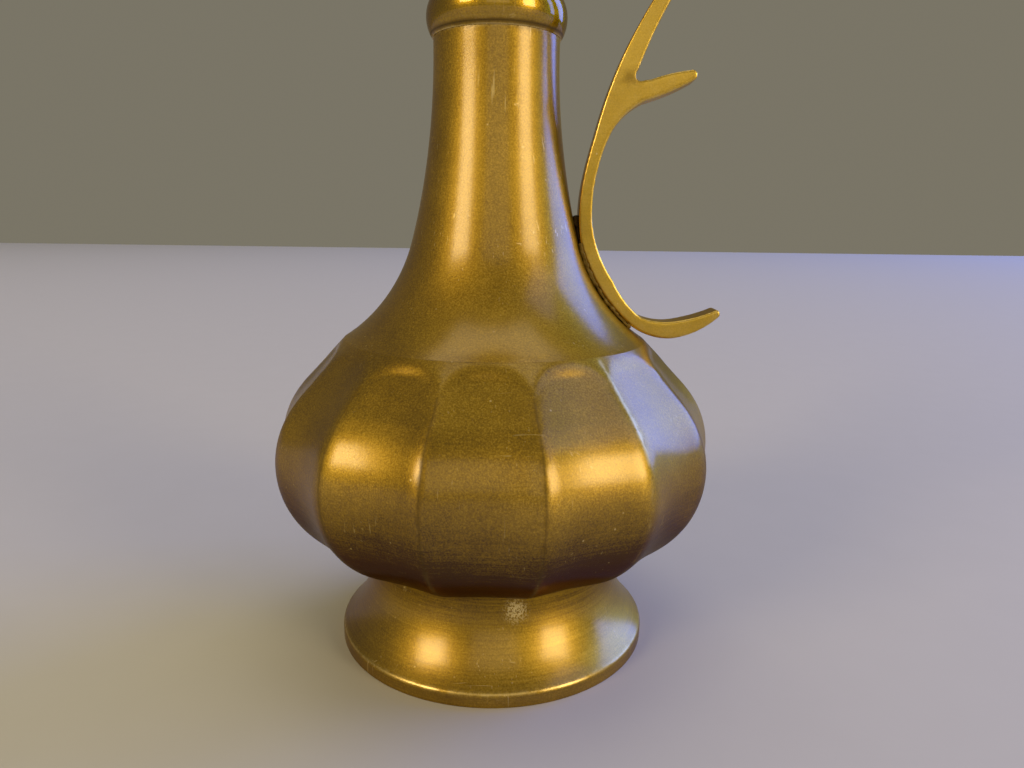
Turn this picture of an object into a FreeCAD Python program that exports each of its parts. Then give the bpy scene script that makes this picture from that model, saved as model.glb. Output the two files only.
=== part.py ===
import FreeCAD, Part
import math
import os
import re

import Sketcher

# Brass ewer with a fluted bowl, a tall neck, a branch handle and a hinged lid.
# Frame: origin at the centre of the foot on the table, +Z up, handle towards +X, pouring lip towards -X.

doc = FreeCAD.newDocument("Ewer")
sheet = doc.addObject("Spreadsheet::Sheet", "Sizes")

sizes = {
    # Fits and cuts
    "solder_gap": 0.1,
    "running_gap": 0.05,
    "lid_gap": 0.3,
    "overrun": 5.0,
    # Foot
    "foot_height": 23.2,
    "foot_flare": 8.5,
    "foot_rim_height": 3.4,
    "foot_step": 0.3,
    "foot_wall": 1.4,
    "foot_throat_inset": 0.4,
    "foot_flange": 7.0,
    # Bowl
    "bowl_radius": 55.2,
    "bowl_upper_curve": 24.0,
    "bowl_lower_curve": 26.0,
    "bowl_base_angle": 20.0,
    "bowl_base_drop": 2.4,
    "bowl_base_rim": 2.0,
    "bowl_wall": 1.4,
    "bowl_seam_rim": 2.6,
    "floor_thickness": 1.6,
    # Flutes
    "flute_count": 14,
    "flute_axis_radius": 140.0,
    "flute_depth": 2.3,
    "flute_top_depth": 1.45,
    "flute_base_depth": 1.3,
    "flute_top_drop": 1.8,
    "flute_top_runout": 1.0,
    "flute_base_margin": 2.0,
    # Neck
    "neck_radius": 14.75,
    "neck_wall": 1.4,
    "neck_top_z": 147.6,
    "neck_straight": 2.6,
    "seam_z": 78.0,
    "seam_angle": 57.1,
    "shoulder_curve": 40.0,
    "shoulder_inset": 4.35,
    "seam_spigot": 1.8,
    "spigot_wall": 0.7,
    "spigot_height": 4.0,
    # Neck collar
    "collar_height": 9.0,
    "collar_step": 0.2,
    "collar_bulge": 1.45,
    # Mouth
    "mouth_radius": 22.6,
    "mouth_height": 29.9,
    "mouth_band": 3.5,
    "rim_overhang": 2.0,
    "rim_skirt": 3.0,
    "rim_lip": 1.6,
    "rim_round": 1.2,
    # Pouring lip
    "lip_reach": 37.0,
    "lip_base_rise": 6.4,
    "lip_root": 1.7,
    "lip_half_width": 9.5,
    "lip_root_half_width": 2.4,
    "lip_wall": 1.3,
    "window_low_width": 3.0,
    "window_top_width": 7.0,
    "window_rise": 15.0,
    "window_height": 10.0,
    # Handle
    "handle_depth": 7.0,
    "handle_reach": 44.0,
    "handle_top_thickness": 4.2,
    "landing_drop": 5.6,
    "stem_width": 3.8,
    "tail_length": 22.0,
    "spur_length": 15.0,
    "seam_solder": 0.6,
    "solder_lip": 0.9,
    "contact_low_angle": 50.0,
    "contact_high_angle": 15.0,
    # Hinge
    "hinge_setback": 3.9,
    "knuckle_radius": 2.8,
    "knuckle_width": 5.0,
    "knuckle_side_gap": 0.3,
    "ear_thickness": 2.2,
    "bracket_thickness": 1.4,
    "bracket_tail": 5.6,
    "pin_radius": 1.25,
    "pin_head_radius": 1.9,
    "pin_head_height": 0.9,
    "rivet_radius": 0.9,
    "rivet_head_radius": 1.5,
    "rivet_head_height": 0.8,
    "rivet_depth": 3.0,
    "rivet_spread": 1.8,
    # Lid
    "shelf_thickness": 1.6,
    "dome_margin": 2.1,
    "dome_height": 10.0,
    "lid_wall": 1.3,
    "flange_clearance": 1.0,
    "flange_wall": 1.3,
    "flange_depth": 5.0,
    "strap_thickness": 1.4,
    "strap_width": 8.6,
    "strap_margin": 0.6,
    "strap_rivet_inset": 3.0,
    "strap_rivet_spread": 2.6,
    "thumb_width": 4.0,
    "thumb_height": 12.5,
    "thumb_lean": 4.0,
    "thumb_tip": 2.2,
    # Finial
    "finial_seat_radius": 5.2,
    "rosette_height": 1.8,
    "rosette_top_radius": 3.6,
    "finial_stem_radius": 2.1,
    "finial_stem_height": 3.2,
    "finial_bud_radius": 5.0,
    "finial_bud_curve": 4.4,
    "finial_bud_height": 12.0,
    "finial_tip_radius": 2.4,
    "tenon_radius": 1.5,
    "washer_radius": 3.8,
    "washer_thickness": 1.0,
    "peen_radius": 2.2,
    "peen_height": 0.8,
}
for row, (alias, size) in enumerate(sizes.items(), start=1):
    sheet.set(f"A{row}", alias)
    sheet.set(f"B{row}", str(size))
    sheet.setAlias(f"B{row}", alias)
doc.recompute()


def bound(text):
    """The same sum, as other objects of the document read it."""
    return re.sub(r"[a-z]\w+", lambda word: "Sizes." + word[0] if word[0] in sizes else word[0], text)


def value(text):
    return float(sheet.evalExpression(text))


# Places that several pieces share, as sums of the sizes

angle_cos = "cos(bowl_base_angle * 1deg)"
angle_sin = "sin(bowl_base_angle * 1deg)"
angle_tan = "tan(bowl_base_angle * 1deg)"
cone_top_z = "(foot_height + bowl_base_drop)"
equator_z = f"({cone_top_z} + bowl_lower_curve * {angle_cos})"
lower_center = "(bowl_radius - bowl_lower_curve)"
upper_center = "(bowl_radius - bowl_upper_curve)"
cone_top_r = f"({lower_center} + bowl_lower_curve * {angle_sin})"
bowl_base_r = f"({cone_top_r} - bowl_base_drop / {angle_tan})"
throat_r = f"({bowl_base_r} - foot_throat_inset)"
foot_flare_r = f"({throat_r} + foot_flare)"
foot_r = f"({foot_flare_r} + foot_step)"
bowl_bore = f"({bowl_base_r} - bowl_base_rim)"

shoulder_r = "(neck_radius + shoulder_inset + shoulder_curve)"
shoulder_z = "(seam_z + shoulder_curve * sin(seam_angle * 1deg))"
seam_r = "(neck_radius + shoulder_inset + shoulder_curve * (1 - cos(seam_angle * 1deg)))"
seam_in_r = f"({seam_r} - bowl_seam_rim)"
straight_z = "(neck_top_z - neck_straight)"
neck_drop = f"({straight_z} - {shoulder_z})"
curve_gain = f"(shoulder_inset / 2 + {neck_drop}^2 / (2 * shoulder_inset))"
neck_curve = f"(shoulder_curve + {curve_gain})"
waist_r = f"(neck_radius + {neck_curve} * shoulder_inset / {curve_gain})"
waist_z = f"({straight_z} - {neck_curve} * {neck_drop} / {curve_gain})"

neck_bore = "(neck_radius - neck_wall)"
spigot_r = f"({neck_bore} + spigot_wall)"
collar_top_z = "(neck_top_z + collar_height)"
band_z = f"({collar_top_z} + mouth_height)"
mouth_top_z = f"({band_z} + mouth_band)"
rim_top_z = f"({mouth_top_z} + rim_lip)"
rim_r = "(mouth_radius + rim_overhang)"
mouth_bore = "(mouth_radius - neck_wall)"

lid_z = f"({rim_top_z} + lid_gap)"
shelf_z = f"({lid_z} + shelf_thickness)"
strap_z = f"({shelf_z} + strap_thickness)"
hinge_r = f"({rim_r} + hinge_setback)"
hinge_z = f"({strap_z} - knuckle_radius)"
bracket_half = "(knuckle_width / 2 + knuckle_side_gap + ear_thickness)"
landing_z = f"({rim_top_z} - landing_drop)"
bracket_top_z = f"({landing_z} + bracket_thickness)"
bracket_front = f"({hinge_r} - knuckle_radius)"
bracket_back = f"({hinge_r} + knuckle_radius + bracket_tail)"
bracket_rivet_x = f"({hinge_r} + knuckle_radius + bracket_tail / 2)"
rivet_low_z = f"({landing_z} - rivet_depth)"
strap_front = f"({rim_r} - strap_rivet_inset * 2)"
strap_rivet_x = f"({rim_r} - strap_rivet_inset)"
strap_wide_end = f"({hinge_r} - knuckle_radius - strap_margin)"

dome_r = f"({strap_front} - dome_margin)"
dome_curve = f"(({dome_r}^2 + dome_height^2) / (2 * dome_height))"
dome_center_z = f"({shelf_z} + dome_height - {dome_curve})"
seat_z = f"({dome_center_z} + sqrt({dome_curve}^2 - finial_seat_radius^2))"
seat_under_z = f"({dome_center_z} + sqrt(({dome_curve} - lid_wall)^2 - finial_seat_radius^2))"
flange_r = f"({mouth_bore} - flange_clearance)"


def upright_curve(inner, outer, height):
    """Radius of an arc that starts upright at one radius and ends at the other, a height away."""
    run = f"(({outer}) - ({inner}))"
    return f"({run}^2 + ({height})^2) / (2 * {run})"


mouth_curve = f"({upright_curve('neck_radius', 'mouth_radius', 'mouth_height')})"


def leaving(center, curve, end_r, end_z):
    """Where a straight line to an end point leaves an arc about the bowl's equator."""
    across, up = f"({end_r} - {center})", f"({end_z} - {equator_z})"
    reach = f"({across}^2 + {up}^2)"
    lean = f"({curve} * sqrt({reach} - {curve}^2))"
    return (f"{center} + ({curve}^2 * {across} + {lean} * {up}) / {reach}",
            f"{equator_z} + ({curve}^2 * {up} - {lean} * {across}) / {reach}")


def upper_at(height):
    """Radius of the bowl's straight upper flank at a height."""
    flank_r, flank_z = leaving(upper_center, "bowl_upper_curve", seam_r, "seam_z")
    return f"({seam_r} + ({flank_r} - {seam_r}) * (seam_z - {height}) / (seam_z - ({flank_z})))"


lip_low_z = f"({collar_top_z} + lip_base_rise)"
lip_top_z = f"({mouth_top_z} - rim_skirt - solder_gap)"
window_z = f"({collar_top_z} + window_rise)"


# Sketching: each corner is (across, up), and an arc to the next corner adds its turn and radius

def make_body(name):
    body = doc.addObject("PartDesign::Body", name)
    body.Label = name
    return body


def make_sketch(body, name, role, lift=None, shift=None):
    sketch = body.newObject("Sketcher::SketchObject", name)
    plane = next(feature for feature in body.Origin.OriginFeatures if feature.Role == role)
    sketch.AttachmentSupport = (plane, "")
    sketch.MapMode = "FlatFace"
    if lift:
        sketch.setExpression("AttachmentOffset.Base.z", bound(lift))
    if shift:
        sketch.setExpression("AttachmentOffset.Base.x", bound(shift))
    return sketch


def bend(start, end, turn, radius):
    """Arc from start to end, drawn the way round that the sketcher keeps arcs."""
    chord = end - start
    rise = math.sqrt(max(radius**2 - (chord.Length / 2) ** 2, 0))
    side = FreeCAD.Vector(-chord.y, chord.x, 0).normalize()
    center = (start + end) / 2 + side * (rise if turn == "left" else -rise)
    first, last = (start, end) if turn == "left" else (end, start)
    angles = [math.atan2(spot.y - center.y, spot.x - center.x) for spot in (first, last)]
    circle = Part.Circle(center, FreeCAD.Vector(0, 0, 1), radius)
    return Part.ArcOfCircle(circle, angles[0], angles[1])


def pin_corner(sketch, item, point, corner):
    """Holds one corner at its sums of sizes."""
    for axis, text, line in (("DistanceX", corner[0], -2), ("DistanceY", corner[1], -1)):
        if text == "0":
            sketch.addConstraint(Sketcher.Constraint("PointOnObject", item, point, line))
            continue
        index = sketch.addConstraint(Sketcher.Constraint(axis, -1, 1, item, point, value(text)))
        sketch.setExpression(f"Constraints[{index}]", bound(text))


def draw(sketch, corners):
    """Closed outline of lines and arcs, every corner and radius bound to the sheet."""
    spots = [FreeCAD.Vector(value(corner[0]), value(corner[1]), 0) for corner in corners]
    ends = []
    for number, corner in enumerate(corners):
        start, end = spots[number], spots[(number + 1) % len(spots)]
        if len(corner) == 2:
            sketch.addGeometry(Part.LineSegment(start, end))
            ends.append((1, 2))
        else:
            sketch.addGeometry(bend(start, end, corner[2], value(corner[3])))
            ends.append((1, 2) if corner[2] == "left" else (2, 1))
    for number, corner in enumerate(corners):
        after = (number + 1) % len(corners)
        last, first = ends[number][1], ends[after][0]
        sketch.addConstraint(Sketcher.Constraint("Coincident", number, last, after, first))
        pin_corner(sketch, number, ends[number][0], corner)
        if len(corner) > 2:
            radius = value(corner[3])
            index = sketch.addConstraint(Sketcher.Constraint("Radius", number, radius))
            sketch.setExpression(f"Constraints[{index}]", bound(corner[3]))
    return sketch


def ring(sketch, across, up, radius):
    """Full circle, its middle and radius bound to the sheet."""
    middle = FreeCAD.Vector(value(across), value(up), 0)
    item = sketch.addGeometry(Part.Circle(middle, FreeCAD.Vector(0, 0, 1), value(radius)))
    pin_corner(sketch, item, 3, (across, up))
    index = sketch.addConstraint(Sketcher.Constraint("Radius", item, value(radius)))
    sketch.setExpression(f"Constraints[{index}]", bound(radius))
    return sketch


def settle(body, made, cuts):
    """Recomputes, and stops where a cut has removed nothing."""
    before = made.BaseFeature.Shape.Volume if cuts else None
    doc.recompute()
    if cuts and made.Shape.Volume >= before:
        raise RuntimeError(f"{body.Label}: {made.Label} removed nothing")
    body.Tip = made
    return made


def turned(body, name, profile, kind="Revolution"):
    """Full turn of a profile about its sketch's upright axis."""
    made = body.newObject("PartDesign::" + kind, name)
    made.Profile = profile
    made.ReferenceAxis = (profile, ["V_Axis"])
    made.Angle = 360
    return settle(body, made, kind == "Groove")


def pushed(body, name, profile, length, kind="Pad", both_ways=False):
    """Straight pad or pocket of a profile."""
    made = body.newObject("PartDesign::" + kind, name)
    made.Profile = profile
    made.Midplane = both_ways
    made.setExpression("Length", bound(length))
    return settle(body, made, kind == "Pocket")


def lofted(body, name, profiles, kind="AdditiveLoft"):
    made = body.newObject("PartDesign::" + kind, name)
    made.Profile = profiles[0]
    made.Sections = profiles[1:]
    made.Ruled = True
    return settle(body, made, kind == "SubtractiveLoft")


def turned_piece(name, corners):
    """Piece that is one full turn of an outline about the ewer's axis."""
    body = make_body(name)
    turned(body, name + "_turned", draw(make_sketch(body, name + "_profile", "XZ_Plane"), corners))
    return body


def box_corners(left, low, right, high):
    return [(left, low), (right, low), (right, high), (left, high)]


def pair_of(name, piece):
    """A piece and its mirror image across the ewer's middle plane, as one group."""
    twin = doc.addObject("Part::Mirroring", name + "_twin")
    twin.Source = piece
    twin.Normal = FreeCAD.Vector(0, 1, 0)
    group = doc.addObject("Part::Compound", name)
    group.Links = [piece, twin]
    group.Label = name
    doc.recompute()
    return group


# Foot, bowl and floor

def build_foot():
    flare = upright_curve(throat_r, foot_flare_r, "foot_height - foot_rim_height")
    inner_r = f"{foot_flare_r} - foot_wall"
    return turned_piece("foot", [
        (inner_r, "0"),
        (foot_r, "0"),
        (foot_r, "foot_rim_height"),
        (foot_flare_r, "foot_rim_height", "right", flare),
        (throat_r, "foot_height"),
        (f"{throat_r} - foot_flange", "foot_height"),
        (f"{throat_r} - foot_flange", "foot_height - foot_wall"),
        (f"{throat_r} - foot_wall", "foot_height - foot_wall", "left", flare),
        (inner_r, "foot_rim_height - foot_wall"),
    ])


def flute_corners():
    """Outline of one flute's cutter, measured from the flute's own axis."""
    top_z = "(seam_z - flute_top_drop)"
    top_end_z = f"({top_z} + flute_top_runout)"
    high_z = f"{top_end_z} + flute_top_runout"
    top_r = f"({upper_at(top_z)} - flute_top_depth)"
    waist = "(bowl_radius - flute_depth)"
    base_r = f"({cone_top_r} - flute_base_depth)"
    end_r = f"({bowl_base_r} + flute_base_margin)"
    end_z = f"(foot_height + flute_base_margin * {angle_tan})"
    low_z = f"2 * {end_z} - {cone_top_z}"
    outside = "bowl_radius + overrun"
    flank = leaving(f"({waist} - bowl_upper_curve)", "bowl_upper_curve", top_r, top_z)
    corners = [
        (f"2 * {end_r} - {base_r}", low_z),
        (outside, low_z),
        (outside, high_z),
        (f"2 * {upper_at(top_end_z)} - {top_r}", high_z),
        (top_r, top_z),
        (*flank, "right", "bowl_upper_curve"),
        (waist, equator_z, "right", upright_curve(base_r, waist, f"{equator_z} - {cone_top_z}")),
        (base_r, cone_top_z),
    ]
    return [(f"{corner[0]} - flute_axis_radius", *corner[1:]) for corner in corners]


def build_bowl():
    body = turned_piece("bowl", [
        ("0", "foot_height"),
        (bowl_base_r, "foot_height"),
        (cone_top_r, cone_top_z, "left", "bowl_lower_curve"),
        ("bowl_radius", equator_z, "left", "bowl_upper_curve"),
        leaving(upper_center, "bowl_upper_curve", seam_r, "seam_z"),
        (seam_r, "seam_z"),
        ("0", "seam_z"),
    ])
    flute_sketch = make_sketch(body, "flute_profile", "XZ_Plane", shift="flute_axis_radius")
    flute = turned(body, "flute", draw(flute_sketch, flute_corners()), "Groove")
    flutes = body.newObject("PartDesign::PolarPattern", "flutes")
    flutes.Originals = [flute]
    flutes.Axis = (next(line for line in body.Origin.OriginFeatures if line.Role == "Z_Axis"), [""])
    flutes.Angle = 360
    flutes.setExpression("Occurrences", bound("flute_count"))
    doc.recompute()
    body.Tip = flutes
    wall = "(flute_depth + bowl_wall)"
    low_curve = f"(bowl_lower_curve - {wall})"
    high_curve = f"(bowl_upper_curve - {wall})"
    inside = make_sketch(body, "bowl_inside", "XZ_Plane")
    turned(body, "bowl_hollow", draw(inside, [
        ("0", "foot_height - overrun"),
        (bowl_bore, "foot_height - overrun"),
        (bowl_bore, "foot_height + floor_thickness"),
        (f"{lower_center} + {low_curve} * {angle_sin}", f"{equator_z} - {low_curve} * {angle_cos}",
         "left", low_curve),
        (f"bowl_radius - {wall}", equator_z, "left", high_curve),
        leaving(upper_center, high_curve, seam_in_r, "seam_z"),
        (seam_in_r, "seam_z"),
        (seam_in_r, "seam_z + overrun"),
        ("0", "seam_z + overrun"),
    ]), "Groove")
    # Half a pitch round, so that a ridge stands under the handle
    body.Placement = FreeCAD.Placement(FreeCAD.Vector(), FreeCAD.Rotation(FreeCAD.Vector(0, 0, 1), 1))
    body.setExpression("Placement.Rotation.Angle", bound("180deg / flute_count"))
    return body


def build_floor():
    disc = doc.addObject("Part::Cylinder", "bowl_floor")
    disc.Label = "bowl_floor"
    disc.setExpression("Radius", bound(f"{bowl_bore} - solder_gap"))
    disc.setExpression("Height", bound("floor_thickness"))
    disc.setExpression("Placement.Base.z", bound("foot_height"))
    return disc


# Neck, collar and mouth

def build_neck():
    joint_r = f"({seam_in_r} - solder_gap)"
    joint_bore = f"({joint_r} - neck_wall)"
    inset = f"({shoulder_r} - neck_wall - {joint_bore})"
    inner_z = f"{shoulder_z} - neck_wall - sqrt(shoulder_curve^2 - {inset}^2)"
    return turned_piece("neck", [
        (seam_r, "seam_z", "right", "shoulder_curve"),
        (waist_r, waist_z, "right", neck_curve),
        ("neck_radius", straight_z),
        ("neck_radius", "neck_top_z"),
        (spigot_r, "neck_top_z"),
        (spigot_r, "neck_top_z + spigot_height"),
        (neck_bore, "neck_top_z + spigot_height"),
        (neck_bore, f"{straight_z} - neck_wall", "left", neck_curve),
        (f"{waist_r} - neck_wall", f"{waist_z} - neck_wall", "left", "shoulder_curve"),
        (joint_bore, inner_z),
        (joint_bore, "seam_z - seam_spigot"),
        (joint_r, "seam_z - seam_spigot"),
        (joint_r, "seam_z"),
    ])


def build_collar():
    bead = "((collar_height / 2)^2 + collar_bulge^2) / (2 * collar_bulge)"
    return turned_piece("neck_collar", [
        (f"{spigot_r} + solder_gap", "neck_top_z"),
        ("neck_radius + collar_step", "neck_top_z", "left", bead),
        ("neck_radius + collar_step", collar_top_z),
        (f"{spigot_r} + solder_gap", collar_top_z),
    ])


def build_mouth_cup():
    body = turned_piece("mouth_cup", [
        (neck_bore, f"{collar_top_z} - spigot_height"),
        (spigot_r, f"{collar_top_z} - spigot_height"),
        (spigot_r, collar_top_z),
        ("neck_radius", collar_top_z, "right", mouth_curve),
        ("mouth_radius", band_z),
        ("mouth_radius", mouth_top_z),
        (mouth_bore, mouth_top_z),
        (mouth_bore, f"{band_z} + neck_wall", "left", mouth_curve),
        (neck_bore, f"{collar_top_z} + neck_wall"),
    ])
    window = draw(make_sketch(body, "window_profile", "YZ_Plane"), [
        ("-window_low_width / 2", window_z),
        ("window_low_width / 2", window_z),
        ("window_top_width / 2", f"{window_z} + window_height"),
        ("-window_top_width / 2", f"{window_z} + window_height"),
    ])
    pushed(body, "pouring_window", window, "mouth_radius + overrun", "Pocket")
    return body


def mouth_envelope(gap):
    """Everything inside the mouth cup's outer face, for fitting pieces against it."""
    return [
        ("0", f"{collar_top_z} - overrun"),
        (f"neck_radius + {gap}", f"{collar_top_z} - overrun"),
        (f"neck_radius + {gap}", collar_top_z, "right", mouth_curve),
        (f"mouth_radius + {gap}", band_z),
        (f"mouth_radius + {gap}", f"{mouth_top_z} + overrun"),
        ("0", f"{mouth_top_z} + overrun"),
    ]


def build_rim_ring():
    bore = "(mouth_radius + solder_gap)"
    low_z = f"({mouth_top_z} - rim_skirt)"
    return turned_piece("rim_ring", [
        (bore, low_z),
        (f"{rim_r} - rim_round", low_z, "left", "rim_round"),
        (rim_r, f"{low_z} + rim_round"),
        (rim_r, f"{rim_top_z} - rim_round", "left", "rim_round"),
        (f"{rim_r} - rim_round", rim_top_z),
        (mouth_bore, rim_top_z),
        (mouth_bore, mouth_top_z),
        (bore, mouth_top_z),
    ])


# Sides of the lip bow out by an arc whose radius is this share of the side's length
lip_curve_share = 2.0


def lip_section(body, name, height, tip, half_width):
    side = f"{lip_curve_share} * sqrt(({tip} - {neck_bore})^2 + ({half_width})^2)"
    return draw(make_sketch(body, name, "XY_Plane", lift=height), [
        (f"-{neck_bore}", half_width, "left", side),
        (f"-({tip})", "0", "left", side),
        (f"-{neck_bore}", f"-({half_width})"),
    ])


def build_pouring_lip():
    body = make_body("pouring_lip")
    root = "(neck_radius + lip_root)"
    inside_low_z = f"{lip_low_z} + lip_wall"
    inside_reach = "lip_reach - 2 * lip_wall"
    lofted(body, "lip_outside", [
        lip_section(body, "lip_low", lip_low_z, root, "lip_root_half_width"),
        lip_section(body, "lip_top", lip_top_z, "lip_reach", "lip_half_width"),
    ])
    lofted(body, "lip_inside", [
        lip_section(body, "lip_inside_low", inside_low_z, root, "lip_root_half_width - lip_wall"),
        lip_section(body, "lip_inside_top", lip_top_z, inside_reach, "lip_half_width - lip_wall"),
    ], "SubtractiveLoft")
    cut = draw(make_sketch(body, "lip_fit", "XZ_Plane"), mouth_envelope("solder_gap"))
    turned(body, "lip_fitted", cut, "Groove")
    return body


# Handle and its solder

# Branch outline: each row is a corner, across and up, then the turn and bow of the edge that leaves it
under_shares = (0.52, "right", 0.178)
inner_shares = [
    (0.85, 0.852, "right", 0.07),
    (0.709, 0.72, "left", 0.043),
    (0.292, 0.443, "left", 0.045),
]
tail_shares = [
    (0, 0, "left", 0.085),
    (0.455, -0.136, "left", 0.08),
    (0.966, 0.1, "left", 0.35),
    (0.957, 0.197, "right", 0.035),
    (0.495, 0.059, "right", 0.07),
    (0.105, 0.105, "right", 0.06),
]
saddle_bow_share = 0.05
stem_shares = [
    (0.354, 0.39, "right", 0.03),
    (0.436, 0.457, "right", 0.07),
]
spur_root_shares = (0.631, 0.561)
spur_shares = [
    (0.1, -0.3, "left", 0.03),
    (0.867, 0.02, "left", 0.35),
    (0.827, 0.167, "left", 0.03),
    (0.193, 0.02, "left", 0.02),
    (0.013, -0.013, "right", 0.3),
]
upper_shares = [
    (0.624, 0.583, "right", 0.02),
    (0.85, 0.72, "left", 0.07),
    (1, 0.861, "left", 0.112),
]


def on_shoulder(angle, offset):
    """Place beside the neck's shoulder curve, an offset away from it, at an angle below level."""
    reach = f"(shoulder_curve - {offset})"
    across = f"({shoulder_r} - {reach} * cos({angle} * 1deg))"
    up = f"({shoulder_z} - {reach} * sin({angle} * 1deg))"
    return across, up


def stem_spot(across_share, up_share):
    """Place on the stem, as shares of the handle's reach and of its height above the seam."""
    across = f"neck_radius + {across_share} * (handle_reach - neck_radius)"
    up = f"seam_z + {up_share} * ({landing_z} - seam_z)"
    return across, up


def tail_spot(across_share, up_share):
    across, up = on_shoulder("contact_low_angle", "seam_solder")
    return f"{across} + {across_share} * tail_length", f"{up} + {up_share} * tail_length"


def spur_spot(across_share, up_share):
    across, up = stem_spot(*spur_root_shares)
    return f"{across} + {across_share} * spur_length", f"{up} + {up_share} * spur_length"


def placed(spot, shares):
    """Corners of one stretch of the outline, from its table of shares."""
    return [(*spot(across, up), turn, bow) for across, up, turn, bow in shares]


def bowed(corners):
    """Turns each edge's bow, a share of its length to the left or right, into an arc's radius."""
    outline = []
    for number, corner in enumerate(corners):
        if len(corner) == 2:
            outline.append(corner)
            continue
        across, up, turn, bow_share = corner
        after = corners[(number + 1) % len(corners)]
        length = f"sqrt(({after[0]} - ({across}))^2 + ({after[1]} - ({up}))^2)"
        outline.append((across, up, turn, f"{(1 + 4 * bow_share**2) / (8 * bow_share)} * {length}"))
    return outline


def handle_corners():
    """Side view of the branch: under the landing, down the neck side, round tail and spur, back up."""
    under_z = f"({landing_z} - handle_top_thickness)"
    under_share, under_turn, under_bow = under_shares
    middle_angle = "((contact_low_angle + contact_high_angle) / 2)"
    high = on_shoulder("contact_high_angle", "seam_solder")
    landing = (bracket_back, landing_z)
    inner = [
        landing,
        ("neck_radius", landing_z),
        ("neck_radius", under_z),
        (stem_spot(under_share, 0)[0], under_z, under_turn, under_bow),
        *placed(stem_spot, inner_shares),
    ]
    saddle = [
        (*on_shoulder(middle_angle, "(seam_solder + stem_width)"), "right", saddle_bow_share),
        (f"{high[0]} + stem_width", high[1], "right", saddle_bow_share),
    ]
    outer = [
        *placed(tail_spot, tail_shares),
        *saddle,
        *placed(stem_spot, stem_shares),
        *placed(spur_spot, spur_shares),
        *placed(stem_spot, upper_shares),
    ]
    contact = (*high, "left", "shoulder_curve - seam_solder")
    return bowed(inner + [high])[:-1] + [contact] + bowed(outer + [landing])[:-1]


def build_handle():
    body = make_body("handle")
    side = draw(make_sketch(body, "handle_side", "XZ_Plane"), handle_corners())
    pushed(body, "handle_cast", side, "handle_depth", both_ways=True)
    fit = draw(make_sketch(body, "handle_fit", "XZ_Plane"), mouth_envelope("solder_gap"))
    turned(body, "handle_fitted", fit, "Groove")
    drill_pair(body, "rivet_holes", landing_z, bracket_rivet_x, "rivet_spread", "rivet_depth")
    return body


def build_handle_solder():
    body = make_body("handle_solder")
    neck_gap = "(solder_gap / 2)"
    inside = "(-neck_wall)"
    outside = f"(seam_solder - {neck_gap})"
    low, high = "contact_low_angle", "contact_high_angle"
    strip = draw(make_sketch(body, "solder_side", "XZ_Plane"), [
        (*on_shoulder(low, inside), "right", f"shoulder_curve - {inside}"),
        on_shoulder(high, inside),
        (*on_shoulder(high, outside), "left", f"shoulder_curve - {outside}"),
        on_shoulder(low, outside),
    ])
    pushed(body, "solder_strip", strip, "handle_depth + 2 * solder_lip", both_ways=True)
    fit = draw(make_sketch(body, "solder_fit", "XZ_Plane"), [
        ("0", "seam_z"),
        (f"{seam_r} + {neck_gap}", "seam_z", "right", "shoulder_curve"),
        (f"{waist_r} + {neck_gap}", waist_z, "right", neck_curve),
        (f"neck_radius + {neck_gap}", straight_z),
        ("0", straight_z),
    ])
    turned(body, "solder_fitted", fit, "Groove")
    return body


# Hinge

def drill_pair(body, name, height, across, spread, depth):
    """Two rivet holes, one each side of the middle plane, down from a height."""
    holes = make_sketch(body, name + "_places", "XY_Plane", lift=height)
    for side in ("", "-"):
        ring(holes, across, side + spread, "rivet_radius + running_gap")
    pushed(body, name, holes, depth, "Pocket")


def rivet_pair(name, across, spread, low, top):
    """Two domed rivets whose shanks run from low to top."""
    body = make_body(name + "_one")
    dome = "(rivet_head_radius^2 + rivet_head_height^2) / (2 * rivet_head_height)"
    profile = make_sketch(body, name + "_profile", "XZ_Plane", lift=spread, shift=across)
    turned(body, name + "_turned", draw(profile, [
        ("0", low),
        ("rivet_radius", low),
        ("rivet_radius", top),
        ("rivet_head_radius", top, "left", dome),
        ("0", f"{top} + rivet_head_height"),
    ]))
    return pair_of(name, body)


def build_hinge_bracket():
    body = make_body("hinge_bracket")
    plate = draw(make_sketch(body, "plate_outline", "XY_Plane", lift=landing_z),
                 box_corners(bracket_front, f"-{bracket_half}", bracket_back, bracket_half))
    pushed(body, "plate", plate, "bracket_thickness")
    ears = draw(make_sketch(body, "ear_side", "XZ_Plane"), [
        (f"{hinge_r} - knuckle_radius", landing_z),
        (f"{hinge_r} + knuckle_radius", landing_z),
        (f"{hinge_r} + knuckle_radius", hinge_z, "left", "knuckle_radius"),
        (hinge_r, strap_z, "left", "knuckle_radius"),
        (f"{hinge_r} - knuckle_radius", hinge_z),
    ])
    pushed(body, "ears", ears, f"2 * {bracket_half}", both_ways=True)
    slot = draw(make_sketch(body, "slot_side", "XZ_Plane"),
                box_corners(f"{bracket_front} - overrun", bracket_top_z,
                            f"{hinge_r} + knuckle_radius + overrun", f"{strap_z} + overrun"))
    pushed(body, "slot", slot, "knuckle_width + 2 * knuckle_side_gap", "Pocket", both_ways=True)
    bore = ring(make_sketch(body, "pin_bore_side", "XZ_Plane"), hinge_r, hinge_z, "pin_radius + running_gap")
    pushed(body, "pin_bore", bore, f"2 * {bracket_half} + overrun", "Pocket", both_ways=True)
    drill_pair(body, "plate_holes", bracket_top_z, bracket_rivet_x, "rivet_spread", "bracket_thickness")
    return body


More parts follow.
